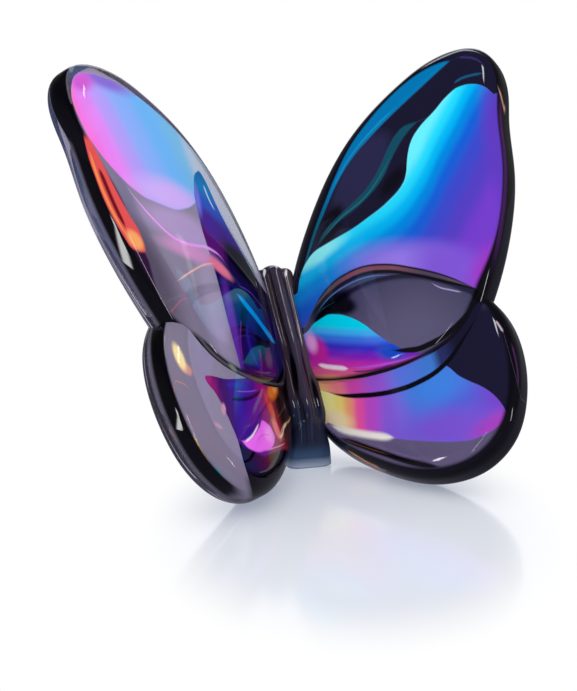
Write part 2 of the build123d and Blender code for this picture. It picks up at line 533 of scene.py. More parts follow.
class Paint(Nodes):
    """A glass material whose colour and clearness are painted in layers, by place on the lobe; the colours
    hold painted reflections, highlights and shade.
    """

    def __init__(self, name, base, clearness):
        self.material = bpy.data.materials.new(name)
        self.material.use_nodes = True
        super().__init__(self.material.node_tree)
        self.out, self.along, self.depth, self.front = (
            self.node("ShaderNodeAttribute", attribute_name=name).outputs["Fac"]
            for name in ("out", "along", "depth", "front")
        )
        self.out_share, self.along_share = (
            self.step(place, field_low, field_low + field_span, smooth=False)
            for place in (self.out, self.along)
        )
        self.pair = self.joined(self.node("ShaderNodeCombineXYZ"), self.out, self.along)
        self.colour = colour(base)
        self.clearness = clearness

    def bent(self, value, points):
        """The height of a smooth line through the points over the value, both as shares of the field."""
        made = self.node("ShaderNodeFloatCurve")
        line = made.mapping.curves[0]
        while len(line.points) < len(points):
            line.points.new(0, 0)
        for point, place in zip(line.points, points):
            point.location = place
            point.handle_type = "AUTO_CLAMPED"
        made.mapping.extend = "HORIZONTAL"
        made.mapping.update()
        self.join(value, made.inputs["Value"])
        return made.outputs[0]

    def above(self, points, upright=False):
        """How far a place lies above the line through the points, or out past it for an upright line."""
        shares = [(share_at(out), share_at(along)) for out, along in points]
        if upright:
            line = self.bent(self.along_share, sorted((along, out) for out, along in shares))
            far = self.number("SUBTRACT", self.out_share, line)
        else:
            far = self.number("SUBTRACT", self.along_share, self.bent(self.out_share, shares))
        return self.number("MULTIPLY", far, field_span)

    def over(self, points, softness, upright=False):
        return self.step(self.above(points, upright), -softness / 2, softness / 2)

    def under(self, points, softness, upright=False):
        return self.step(self.above(points, upright), softness / 2, -softness / 2)

    def band(self, lower, upper, softness):
        return self.both(self.over(lower, softness), self.under(upper, softness))

    def stroke(self, points, width, softness, upright=False):
        """A line through the points that swells to the width and tapers off at both ends."""
        far = self.number("ABSOLUTE", self.above(points, upright))
        start, end = (points[0][1], points[-1][1]) if upright else (points[0][0], points[-1][0])
        low, high = sorted((share_at(start), share_at(end)))
        swell = (high - low) / 4
        width_share = width / widest_line
        swelling = [(low, 0), (low + swell, width_share), (high - swell, width_share), (high, 0)]
        thick = self.bent(self.along_share if upright else self.out_share, swelling)
        inside = self.number("SUBTRACT", self.number("MULTIPLY", thick, widest_line / 2), far)
        return self.step(inside, 0, softness)

    def blob(self, out, along, half_width, half_height, turn, edge):
        """An ellipse, turned by so many degrees, whose edge is soft over the given share of its size."""
        far = self.ellipse(self.pair, (out, along), (half_width, half_height), radians(turn))
        return self.step(far, 1 + edge / 2, 1 - edge / 2)

    def ramp(self, value, stops):
        """The colour at the value, from (value, colour) stops."""
        low, high = stops[0][0], stops[-1][0]
        made = self.node("ShaderNodeValToRGB")
        places = made.color_ramp.elements
        while len(places) < len(stops):
            places.new(0.5)
        for place, (at, shade) in zip(places, stops):
            place.position = (at - low) / (high - low)
            place.color = colour(shade)
        made.color_ramp.interpolation = "EASE"
        return self.joined(made, self.step(value, low, high, smooth=False))

    def layer(self, shade, mask, clearness=None, within=None):
        """Lays a colour or a ramp over what is painted so far, and sets how clear the glass is there."""
        if within is not None:
            mask = self.both(within, mask)
        # A Mix node has a pair of inputs for each kind of value: 2 and 3 are numbers, 6 and 7 are colours
        mix = self.node("ShaderNodeMix", data_type="RGBA")
        self.join(mask, mix.inputs[0])
        self.join(self.colour, mix.inputs[6])
        self.join(colour(shade) if isinstance(shade, tuple) else shade, mix.inputs[7])
        self.colour = mix.outputs[2]
        if clearness is not None:
            mix = self.node("ShaderNodeMix")
            self.join(mask, mix.inputs[0])
            self.join(self.clearness, mix.inputs[2])
            self.join(clearness, mix.inputs[3])
            self.clearness = mix.outputs[0]

    def spots(self, rows, within=None, clearness=None):
        """Blobs over each other. A row is a colour, then the place, half sizes, turn and edge of a blob."""
        for shade, *ellipse in rows:
            self.layer(shade, self.blob(*ellipse), clearness, within)

    def lines(self, rows, within=None, clearness=None, upright=False):
        """Lines over each other. A row is a colour, a width, a softness and the line's points."""
        for shade, width, softness, points in rows:
            self.layer(shade, self.stroke(points, width, softness, upright), clearness, within)

    def back(self, shade):
        """The back of the lobe is clear glass of the given colour."""
        self.layer(shade, self.step(self.front, 0.6, 0.4), back_clearness)

    def done(self):
        shader = self.tree.nodes["Principled BSDF"]
        self.join(self.colour, shader.inputs["Base Color"])
        self.join(self.clearness, shader.inputs["Transmission Weight"])
        shader.inputs["Roughness"].default_value = glass_roughness
        shader.inputs["IOR"].default_value = glass_ior
        shader.inputs["Specular IOR Level"].default_value = glass_specular
        return self.material


# Places in the paints are in millimetres, out across the wing from the hinge line and up along it. On the
# body they are the lane across the ribs, and the level.
# Near-black painted shade, for the dark rims of the lobes and the dark lines along their creases
painted_shade = (8, 6, 16)


def right_forewing_paint():
    # The lustre's colours on this lobe are painted reflections, highlights and shade
    made = Paint("right_forewing_lustre_and_painted_light", (88, 82, 116), 0.85)
    # A painted dark reflection under the leading edge, with its two bright painted reflected strips
    crest = [
        (4, 31.5), (5, 33.6), (7, 35.7), (10, 36.7), (15, 36.7), (20, 37.3), (24, 38.4), (27, 40.2),
        (28, 41.8), (28.8, 44.2), (30.2, 46.9), (32, 48.6), (35, 50.4), (38, 52.4), (40, 53.1), (42, 52.8),
        (43.8, 51.6), (45, 49.6),
    ]
    lens_top = [
        (4, 25.5), (7, 27.6), (10, 28.8), (13, 29.2), (16, 29), (20, 27.6), (25, 24.5), (30, 20.7),
        (35, 16.4), (38, 13),
    ]
    over_lens = made.over(lens_top, 0.4)
    over_crest = made.over(crest, 0.3)
    band = made.both(over_crest, over_lens)
    made.layer((17, 15, 40), band, 0.2)
    made.spots([
        ((34, 32, 68), 20.5, 45.4, 7.5, 3.4, 40, 0.5),
        ((6, 4, 14), 13, 39.4, 3.6, 1.8, 42, 0.7),
        ((6, 5, 18), 25.4, 41.2, 3, 1.4, 32, 1.1),
    ], within=band)
    upper_reflected_strip = made.band(
        [
            (6, 34.4), (8, 37), (10, 39.5), (13, 42.7), (16, 45.8), (20, 48.9), (24, 51), (28, 52.9),
            (32, 54.7), (35, 56.1), (38, 57.6), (40, 58.6),
        ],
        [
            (6, 34.6), (8, 37.6), (10, 40.2), (13, 43.7), (16, 47.1), (20, 51), (24, 53.7), (28, 55.9),
            (32, 57.6), (35, 58.4), (38, 58.7), (40, 58.3),
        ],
        0.5,
    )
    upper_reflected_strip = made.both(upper_reflected_strip, made.step(made.out, 5.5, 9))
    made.layer((0, 122, 184), upper_reflected_strip, 0.1)
    made.layer((12, 96, 112), made.both(upper_reflected_strip, made.step(made.out, 16, 9)))
    made.lines([((26, 152, 204), 0.8, 0.5, [(13, 43.1), (16, 46.3), (20, 49.5), (25, 52.2), (30, 54.4)])])
    lower_reflected_strip = made.band(
        [
            (9, 36.6), (12, 38.3), (15, 39.3), (18, 39.9), (21, 40.9), (24, 42.8), (26, 45), (28, 47.1),
            (30, 48.7), (32, 49.8),
        ],
        [
            (9, 36.9), (12, 39.1), (15, 40.2), (18, 41.1), (21, 42.4), (24, 44.9), (26, 47.3), (28, 49.2),
            (30, 50), (32, 49.8),
        ],
        0.4,
    )
    lower_reflected_strip = made.both(lower_reflected_strip, made.step(made.out, 9, 12))
    made.layer((14, 74, 94), lower_reflected_strip, 0.1)
    made.lines([
        ((40, 140, 150), 0.4, 0.3, [(10, 37.4), (15, 39.6), (20, 40.9), (24, 43.6), (28, 48.2)]),
        ((12, 84, 124), 0.8, 0.4, [(39, 54), (41, 54.5), (44.5, 54.1)]),
        ((52, 44, 110), 0.9, 0.6, [(41, 58.6), (43.4, 57.4), (45, 55.4)]),
    ])
    # The large bright patch, a painted reflection, from pale cyan at its crest through blue to violet, with
    # a painted highlight at its crest
    blue_line = [
        (4, 30.6), (10, 30.9), (17, 31.5), (25, 32.9), (30, 36.4), (34, 41), (38, 45.4), (41, 49), (45, 53),
    ]
    shades = made.ramp(made.above(blue_line), [
        (-16, (116, 58, 202)), (-11, (84, 60, 194)), (-6, (58, 70, 202)), (-2.4, (16, 92, 214)),
        (0.4, (0, 134, 226)), (2.8, (0, 184, 244)), (5, (30, 220, 255)), (8, (104, 244, 255)),
    ])
    reflection_patch = made.both(made.without(over_crest), over_lens)
    made.layer(shades, reflection_patch, 0.08)
    made.spots([
        ((140, 250, 255), 9.6, 35.8, 4.6, 1.3, 4, 1.3),
        ((150, 122, 234), 23, 27.2, 8, 3, -24, 1.4),
        ((128, 84, 216), 31, 22.6, 6.5, 3.4, -40, 1.3),
        ((158, 54, 196), 37, 19.4, 4.5, 3.4, 56, 1.2),
        ((92, 56, 190), 44.4, 41, 3, 11, -8, 1.0),
    ], within=reflection_patch)
    # The lens, where both lobes lie one behind the other, with painted dark reflections and a teal painted
    # highlight line in it
    lens = made.without(over_lens)
    made.layer((46, 45, 76), lens, 0.45)
    made.spots([((82, 79, 112), 21, 14.5, 9, 8, -20, 1.7)], within=lens, clearness=0.5)
    made.spots([
        ((8, 8, 18), 9.6, 26.2, 4, 1.7, 6, 0.6),
        ((8, 8, 18), 11.6, 25, 2.6, 1.4, -34, 0.8),
    ], within=lens, clearness=0.1)
    made.lines([((16, 92, 110), 0.3, 0.3, [(5.5, 25.8), (8, 26.5), (11, 26.4)])])
    # A painted reflection across the lens, from peach through magenta to cyan, with painted highlight lines
    cool_reflection = made.under([
        (4, 24.4), (6, 25.1), (8, 25.1), (10, 24.3), (12, 22.8), (14, 20.6), (16, 17.6), (18, 14.9),
        (20, 12.8), (22, 11.3), (25, 9.4),
    ], 0.3)
    across = made.above([(3, 20), (6, 18.6), (8, 17.3), (12, 14.9), (16, 12.8), (20, 11.2), (26, 9)])
    made.layer(made.ramp(across, [
        (-4, (250, 176, 116)), (-2.6, (240, 96, 150)), (-1, (208, 44, 178)), (0.8, (124, 32, 196)),
        (2.2, (58, 46, 208)), (3.8, (56, 120, 240)), (5, (60, 186, 255)), (6.2, (0, 228, 255)),
    ]), cool_reflection, 0.06)
    made.spots([
        ((14, 74, 204), 17.6, 13.7, 2.6, 1.3, -36, 1.0),
        ((208, 32, 166), 5, 20.4, 1.5, 2.6, 20, 1.0),
        ((246, 170, 244), 4.2, 22.4, 0.9, 1.8, 10, 1.2),
    ], within=cool_reflection)
    made.lines([
        ((255, 232, 252), 1.3, 0.5, [(4.2, 18.3), (6, 16.9), (8, 15.6), (9.8, 14.5)]),
        ((80, 34, 130), 0.7, 0.4, [(9.4, 14.3), (12, 12.9), (15, 11.9), (18, 11.4)]),
        ((184, 96, 236), 0.7, 0.4, [(9, 15.2), (12, 13.6), (16, 12.2), (20, 11.2), (25, 10.6)]),
    ])
    # The lower rim, painted with reflected colours that darken toward its far end, between a line of painted
    # shade above it and the crease below it
    low = made.under([(2, 16.4), (8, 13.4), (13, 11.4), (19, 10.3), (25, 10.8), (30, 12.8), (36, 17)], 0.5)
    made.layer(made.ramp(made.out, [
        (3, (255, 196, 130)), (6, (250, 150, 140)), (8, (234, 84, 166)), (12, (178, 72, 214)),
        (17, (112, 92, 226)), (22, (60, 120, 220)), (24.4, (40, 56, 120)), (26, (24, 20, 46)),
        (35, (20, 17, 42)),
    ]), low, 0.1)
    made.lines([
        (painted_shade, 1.3, 0.3, [(17, 14.2), (20, 12.7), (23, 11.9), (26, 12), (30, 13.4), (35.5, 16.8)]),
    ], clearness=0.1)
    made.lines([((74, 62, 92), 0.6, 0.6, [(24, 10.2), (27, 10.5), (31, 12)])])
    # Painted where the hindwing lobe's upper rim would show through: a brown band of painted reflection
    # between lines of painted shade, then two painted highlight lines
    made.lines([((22, 18, 32), 2.1, 0.3, lens_top[:-1])], clearness=0.1)
    made.layer(made.ramp(made.out, [
        (4, (96, 88, 84)), (10, (84, 70, 78)), (15, (132, 70, 84)), (21, (126, 76, 88)), (27, (74, 64, 84)),
        (34, (96, 82, 96)),
    ]), made.stroke([(p, q + 0.15) for p, q in lens_top[:-1]], 1.1, 0.35))
    made.lines([
        ((60, 132, 206), 0.4, 0.25, [(5, 25.4), (9, 27.5), (13, 28), (18, 27.2), (22, 25.2)]),
        ((196, 184, 244), 0.5, 0.3, [(26.8, 22), (28, 20.4), (30, 18.9), (31.6, 17.8)]),
    ])
    made.back((150, 144, 178))
    # The rim is darkened with painted shade, except on the bright lower rim, and given painted highlights
    bright_rim = made.both(low, made.step(made.out, 25, 21))
    shaded_rim = made.without(bright_rim)
    tip_highlight = made.stroke([(34, 58.8), (37, 59.4), (41, 59.7), (43.8, 58.8), (45.8, 56.6)], 0.5, 0.4)
    # On the outer side the colours run further onto the rounded rim before the painted shade starts
    shift = made.number("MULTIPLY", made.step(made.out, 33, 41), -0.95)
    made.layer(painted_shade, made.both(made.step(made.number("ADD", made.depth, shift), 0.35, 0.75), shaded_rim), 0.1)
    # A violet tint in the rim's painted shade
    violet_rim_shade = made.both(made.step(made.depth, 1.5, 1.9), made.step(made.depth, 2.8, 2.2))
    made.spots([((62, 24, 78), 44, 36, 3.4, 16, -20, 0.6)], within=violet_rim_shade, clearness=0.1)
    # Painted highlights along the tip and down the right rim
    made.layer((226, 222, 236), made.both(tip_highlight, made.step(made.front, 0.5, 0.6)))
    peach_highlight = made.stroke([(45, 40), (45.9, 44), (46.2, 48), (46, 52)], 0.5, 0.4, True)
    made.layer((255, 186, 160), made.both(peach_highlight, made.step(made.front, 0.5, 0.6)))
    return made.done()


def right_hindwing_paint():
    # The lustre's colours on this lobe are painted reflections, highlights and shade
    made = Paint("right_hindwing_lustre_and_painted_light", (80, 70, 108), 0.7)
    made.spots([((20, 18, 44), 31, 6, 9, 10.5, 0, 0.4)], clearness=0.15)
    # A line of painted shade follows the forewing's rim, with a band of painted reflection above it
    arc = [
        (3, 14.8), (4.6, 13.5), (6, 12.3), (8, 11), (10, 10), (13, 8.7), (16, 7.8), (20, 7.3), (25, 8.1),
        (29, 10.8), (34, 15.5),
    ]
    made.layer(made.ramp(made.out, [
        (3, (255, 190, 124)), (6.5, (250, 128, 140)), (9, (220, 70, 180)), (13, (160, 84, 220)),
        (18, (84, 120, 232)), (23, (60, 124, 214)), (25, (36, 44, 96)), (28, (20, 18, 44)),
    ]), made.over(arc, 0.3), 0.1)
    # The bright patch, a painted reflection from yellow through pink to blue, with a painted highlight near
    # the body
    top = arc[:9] + [(25.9, 7.2), (26.8, 5.6), (28.4, 3.8), (30, 2.2), (31.4, 0.2), (32.3, -2), (32.8, -4.4)]
    bottom = [
        (3, 9), (5, 6.9), (8, 4.4), (13, 1), (16, -0.8), (20, -2.9), (24, -4.7), (27, -5.4), (30, -5.2),
        (32.8, -4),
    ]
    reflection_patch = made.band(bottom, top, 0.3)
    slope = made.number("ADD", made.out, made.number("MULTIPLY", made.along, -0.22))
    shades = made.ramp(slope, [
        (1.6, (255, 248, 160)), (3.8, (255, 232, 126)), (5.6, (255, 168, 122)), (7.4, (248, 84, 172)),
        (9.6, (196, 76, 210)), (13, (138, 94, 226)), (19, (84, 112, 226)), (26, (84, 96, 218)),
        (33, (120, 64, 200)),
    ])
    made.layer(shades, reflection_patch, 0.06)
    made.spots([
        ((62, 132, 230), 22.6, 6, 5.6, 3.2, -14, 1.3),
        ((122, 82, 212), 24, -2.4, 10, 2.8, -16, 1.4),
        ((166, 64, 190), 30.6, -4.6, 4, 1.8, 4, 1.5),
        ((255, 234, 190), 4.4, 8.6, 3.2, 1.3, -40, 1.4),
    ], within=reflection_patch)
    # A painted white highlight, and a line of painted shade along the forewing's rim
    made.lines([
        ((255, 252, 240), 2.2, 0.9, [(3, 8.6), (5, 6.6), (8, 4.3), (11, 2.3), (14.4, 0.3)]),
        (painted_shade, 1.2, 0.3, arc),
    ], clearness=0.1)
    # Under the patch the glass is grey and darkens toward its rim with painted shade, with painted
    # highlights in brown and peach at its left
    rim_line = [(3, 6), (5, 3.4), (8, 0.2), (11, -3), (15, -6), (20, -8.2), (25, -9), (30, -8.2), (34, -5)]
    made.lines([
        ((10, 6, 12), 1.8, 0.6, [(3.5, 6.2), (7, 3), (11, -0.6), (16, -4.8), (21, -8)]),
    ], clearness=0.1)
    made.lines([((150, 84, 52), 0.35, 0.3, [(4, 5.8), (7, 3), (10, 0.3), (13, -2.2)])])
    made.back((150, 140, 172))
    # The rim in painted shade, with painted highlights in cream and peach on its left, and purple and pink
    # ones on its right
    made.layer(painted_shade, made.both(made.under(rim_line, 0.6), made.step(made.depth, 2.8, 2)), 0.1)
    made.layer(painted_shade, made.step(made.depth, 0.4, 0.9), 0.1)
    made.lines([
        ((188, 172, 176), 0.7, 0.5, [(3.4, 4.6), (5, 2.4), (7, 0), (9, -2.2), (12, -4.6)]),
        ((246, 168, 118), 0.8, 0.5, [(5, 3), (6.6, 1), (8.4, -1.2), (10.6, -3.4)]),
    ])
    made.lines([
        ((98, 42, 118), 0.5, 0.4, [(35.4, -1), (36.2, 3), (36.4, 8)]),
        ((232, 206, 226), 0.6, 0.4, [(35.6, 9.4), (35.3, 10.6), (34.9, 12)]),
    ], upright=True)
    return made.done()


def left_forewing_paint():
    # The lustre's colours on this lobe are painted reflections, highlights and shade
    made = Paint("left_forewing_lustre_and_painted_light", (142, 132, 158), 0.28)
    made.spots([((172, 158, 188), 25.5, 20, 3, 12, 0, 1.4)])
    made.spots([((98, 88, 110), 41, 23, 5, 10, -20, 1.2)], clearness=0.25)
    made.spots([((182, 156, 204), 30, 33.4, 8, 3, 0, 1.0)], clearness=0.2)
    # The bright patch, a painted reflection from sky blue to pink toward the tip, with a painted coral
    # highlight
    lower = [
        (12, 48), (17, 46), (21, 43.4), (24.5, 40), (28, 37.5), (32, 36.2), (37, 36.3), (40, 37.6),
        (43, 39.8), (46, 42.8), (49, 47),
    ]
    slope = made.number("ADD", made.out, made.number("MULTIPLY", made.along, -0.4))
    shades = made.ramp(slope, [
        (1, (190, 210, 236)), (5, (120, 190, 234)), (11, (108, 184, 250)), (17, (140, 176, 252)),
        (21, (182, 158, 250)), (25, (232, 134, 244)), (29, (250, 118, 226)), (33, (248, 104, 200)),
    ])
    tip_side = [
        (38, 34), (41, 37), (44, 39.8), (46.6, 43.2), (48.2, 47), (48.9, 51), (48.4, 54), (47, 56.4),
        (44, 58.6),
    ]
    made.layer((52, 20, 60), made.over([
        (40, 24), (41.6, 30), (43, 35), (45.4, 40), (49, 47),
    ], 0.8, True), 0.15)
    upper = [
        (14, 45.5), (17, 48), (20, 50.3), (25, 53.2), (30, 55.4), (35, 57), (40, 57.9), (44, 57.7),
        (46.5, 56.6), (48.4, 53.6), (49.2, 50),
    ]
    reflection_patch = made.both(made.band(lower, upper, 0.5), made.under(tip_side, 0.3, True))
    made.layer(shades, reflection_patch, 0.08)
    made.spots([
        ((212, 178, 252), 31, 38.6, 7.5, 2.8, -4, 1.3),
        ((168, 204, 232), 19.6, 49.6, 3.4, 3, 40, 1.6),
        ((138, 108, 216), 40.5, 57.4, 5, 1.7, 4, 1.2),
        ((206, 92, 208), 45.4, 55.6, 2.6, 1.6, -30, 1.2),
    ], within=reflection_patch)
    made.lines([
        ((246, 142, 124), 0.9, 0.6, [(48.2, 48.4), (48.9, 51), (48, 54.4)]),
    ], within=reflection_patch, upright=True)
    made.layer((168, 160, 180), made.over(upper, 0.4), 0.8)
    # Painted pale reflections over the glass beside the patch, toward the body
    made.spots([((204, 214, 232), 15, 43.4, 9.5, 4.4, 44, 1.0)], clearness=0.55)
    made.spots([((228, 234, 244), 10.5, 38.4, 5.4, 2.6, 50, 1.2)], clearness=0.75)
    # The dark part near the body, a painted dark reflection with a sharp edge, and its painted streaks of
    # reflection and highlight
    dark_reflection = made.under([
        (21.6, 8), (22.4, 14), (23, 20), (23.4, 26), (24, 31), (24.6, 36), (24.6, 40), (24, 43),
        (22.9, 45.8), (21.2, 47.4),
    ], 0.2, True)
    edge = [
        (4, 31.5), (7, 32.2), (9, 34), (11.5, 35.8), (14, 37.8), (16.8, 40.4), (18.3, 43), (19.8, 46),
        (21.2, 47.3), (26, 47.3),
    ]
    inner = made.both(dark_reflection, made.under(edge, 0.5))
    shades = made.ramp(made.along, [
        (10, (38, 8, 66)), (15, (34, 12, 96)), (20, (24, 12, 100)), (25, (18, 12, 96)), (29, (30, 8, 84)),
        (33, (28, 8, 62)), (37, (62, 26, 146)), (41, (34, 84, 196)), (44, (0, 120, 190)),
        (47, (0, 104, 168)),
    ])
    made.layer(shades, inner, 0.08)
    made.spots([
        ((86, 14, 112), 22, 33.6, 3.2, 4.2, 10, 0.9),
        ((64, 24, 150), 21.6, 37, 2.6, 2.2, 30, 1.2),
    ], within=inner)
    made.spots([((4, 10, 44), 13.6, 32.6, 4.6, 2.6, 18, 0.8)], within=inner, clearness=0.0)
    made.lines([((12, 52, 84), 1.2, 1, [(8, 32.6), (11, 34.2), (14, 36.4)])], within=inner)
    made.spots([
        ((112, 112, 222), 24, 41, 0.9, 3, 4, 1.2),
        ((98, 42, 164), 21.9, 18, 1.4, 9, 4, 1.0),
    ], within=inner)
    made.lines([((52, 26, 168), 1.8, 1.2, [(15, 12), (17.6, 17), (17, 22)])], within=inner, upright=True)
    made.spots([
        ((6, 4, 38), 12, 19, 2.4, 4.4, 24, 0.8),
        ((6, 4, 34), 17.6, 21.5, 0.9, 4, 24, 0.9),
    ], within=inner)
    made.layer((6, 3, 20), made.both(inner, made.under([
        (3, 20), (7, 16), (11, 13), (16, 11), (22, 10.4),
    ], 1.2)))
    made.lines([
        ((128, 24, 96), 1.6, 1.2, [(15.6, 11.6), (14.8, 14), (14, 18)]),
        ((142, 40, 168), 0.8, 0.7, [(21, 12.4), (20.4, 16), (18.4, 21.4)]),
    ], within=inner, upright=True)
    made.spots([((18, 8, 52), 7, 29.6, 3.6, 2.6, 0, 0.8)], within=inner)
    made.lines([((66, 60, 150), 0.4, 0.4, [(3.5, 30.5), (6, 29.4), (9, 29.6), (13, 30)])], within=inner)
    made.lines([
        ((0, 148, 226), 2.1, 0.6, [(5.8, 21.6), (9, 22.2), (13, 23.7), (18.6, 25.8)]),
    ], clearness=0.08)
    made.lines([((104, 100, 214), 0.45, 0.4, [(5.5, 26.6), (9, 27.2), (13, 28.1), (18, 27.5)])])
    made.lines([
        ((182, 216, 232), 1.1, 0.9, [(6, 31.6), (9.4, 33.6), (13, 36.6), (16, 39.5), (18, 43)]),
    ], clearness=0.3)
    made.lines([((196, 230, 244), 0.9, 0.5, [(18.9, 40.4), (20.2, 42.6), (20.8, 45)])], upright=True)
    # Painted pink reflections and highlight lines under the patch
    made.spots([((220, 150, 208), 29, 29.3, 6.4, 1.5, -2, 1.2)], clearness=0.3)
    made.spots([((238, 118, 146), 21.6, 28.9, 3.0, 1.1, 12, 0.9)], clearness=0.1)
    hook = [
        (18, 28.4), (19.4, 30.4), (21.4, 31.6), (24, 31.7), (27, 31), (30.4, 30.4), (33.4, 30.8),
        (36.4, 32.6), (39.4, 35.4), (41.4, 38), (42.8, 40.6),
    ]
    made.lines([((240, 158, 246), 1.0, 0.5, hook)], clearness=0.1)
    made.lines([
        ((252, 190, 178), 0.7, 0.4, [(22.5, 29.4), (26, 28), (29.5, 25.8), (35, 21.8)]),
        ((206, 112, 142), 0.55, 0.4, [(31.5, 20.6), (34, 19.2), (36.6, 17), (39.4, 14.6)]),
    ], clearness=0.2)
    # The orange streak, a painted reflection with its dark red heart
    orange_reflection = made.both(
        made.over([(40.2, 26), (40.4, 29), (42, 32), (43.8, 36), (45.6, 40.6), (47.4, 45)], 0.5, True),
        made.under([(43.4, 24.8), (45.4, 28), (47.2, 32), (48.3, 37), (48.8, 41), (48.6, 45)], 0.4, True),
        made.over([(38, 26.8), (41, 25.6), (43, 25.4), (46, 27)], 0.8),
        made.under([(40, 44.4), (49, 44.6)], 2.0),
    )
    made.layer((232, 84, 84), orange_reflection, 0.08)
    made.lines([
        ((112, 18, 24), 1.7, 0.6, [(43.6, 28.6), (45, 32.5), (46.8, 39.6)]),
        ((250, 148, 78), 1.2, 0.5, [(43.2, 26.2), (45.9, 31), (47.5, 36.4), (48.2, 43)]),
    ], upright=True)
    made.spots([((250, 170, 102), 42.2, 27.4, 1.8, 1.6, 20, 0.8)], clearness=0.08)
    # A dark double line of painted shade along the lower rim, with dim green painted highlights in it
    low = made.under([(2, 17), (10, 15.6), (20, 13), (30, 13.2), (38, 15.6), (41, 18)], 1.5)
    made.layer((24, 20, 30), made.both(low, made.step(made.depth, 0.3, 0.6)), 0.15)
    made.layer((86, 82, 92), made.both(
        low,
        made.step(made.depth, 0.62, 0.74),
        made.step(made.depth, 0.98, 0.86),
    ))
    for place, height in ((24.4, 10.4), (31.6, 11.2), (36, 13)):
        made.layer((132, 144, 120), made.both(low, made.blob(place, height, 1.0, 0.5, 12, 1.0)))
    made.back((176, 168, 196))
    # The rim is darkened with painted shade on the outer side, and deeper down where the patch and the
    # streak leave it bare
    rim_edge = [
        (37, 8), (40.5, 13), (42.4, 17), (44.6, 21), (46.4, 26), (48, 32), (49.2, 38), (49.8, 43), (50, 48),
        (49.8, 53), (48.4, 57), (45.6, 59.2), (42, 60),
    ]
    made.layer(painted_shade, made.both(made.over(rim_edge, 0.5, True), made.step(made.depth, 0.4, 0.9)), 0.1)
    bare = made.without(made.number("MAXIMUM", orange_reflection, reflection_patch))
    made.layer(painted_shade, made.both(made.step(made.depth, 1.9, 2.4), made.step(made.front, 0.25, 0.45), bare), 0.1)
    # A painted highlight at the tip
    made.spots([((250, 250, 255), 47.4, 57.6, 1.1, 0.4, -56, 0.8)])
    return made.done()


